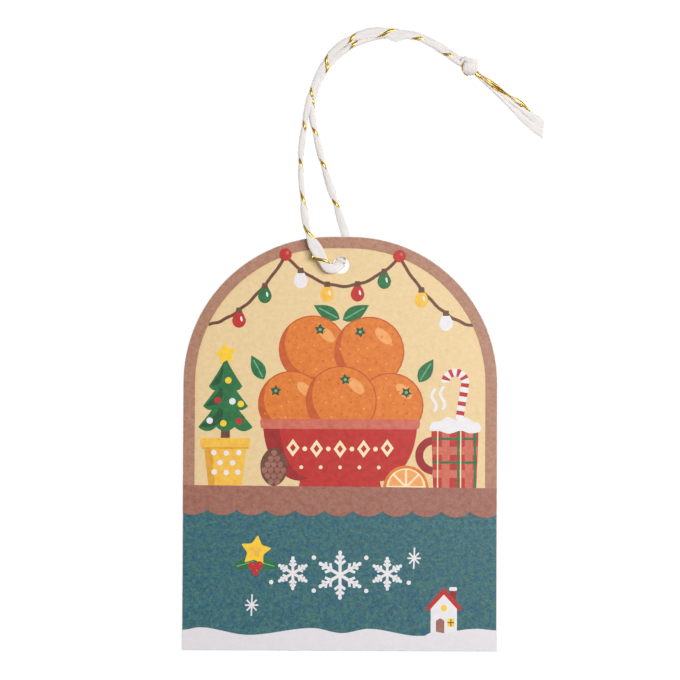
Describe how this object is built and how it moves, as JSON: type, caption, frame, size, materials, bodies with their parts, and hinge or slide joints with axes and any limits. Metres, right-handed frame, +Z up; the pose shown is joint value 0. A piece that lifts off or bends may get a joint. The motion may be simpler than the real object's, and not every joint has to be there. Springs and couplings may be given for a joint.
{
  "type": "gift tag",
  "caption": "Flat printed card tag with a rounded top and a punched hole, threaded with a knotted loop of white and gold string that ties it to a gift.",
  "frame": {"origin": "centre of the card's footprint on the table that the tag lies on", "axes": "+X across the card to the reader's right, +Y up the card towards its hole, +Z up from the table, out of the printed face"},
  "size_m": [0.0688, 0.1195, 0.0035],
  "materials": {
    "card_stock": "matt printed white card",
    "white_yarn": "soft low-twist yarn",
    "gold_thread": "metallised gold film"
  },
  "bodies": {
    "card": {"card": "card_stock"},
    "string": {"string_front_leg": "white_yarn", "string_back_leg": "white_yarn", "knot": "white_yarn", "front_tail": "white_yarn", "back_tail": "white_yarn", "front_gold_tail": "gold_thread", "back_gold_tail": "gold_thread"}
  },
  "joints": [
    {"name": "loop_swing", "type": "hinge", "parent": "card", "child": "string", "pos_m": [0, 0.03399, 0.00167], "axis": [0, -0.0197, 0.9998], "range_deg": [-45, 45]}
  ]
}
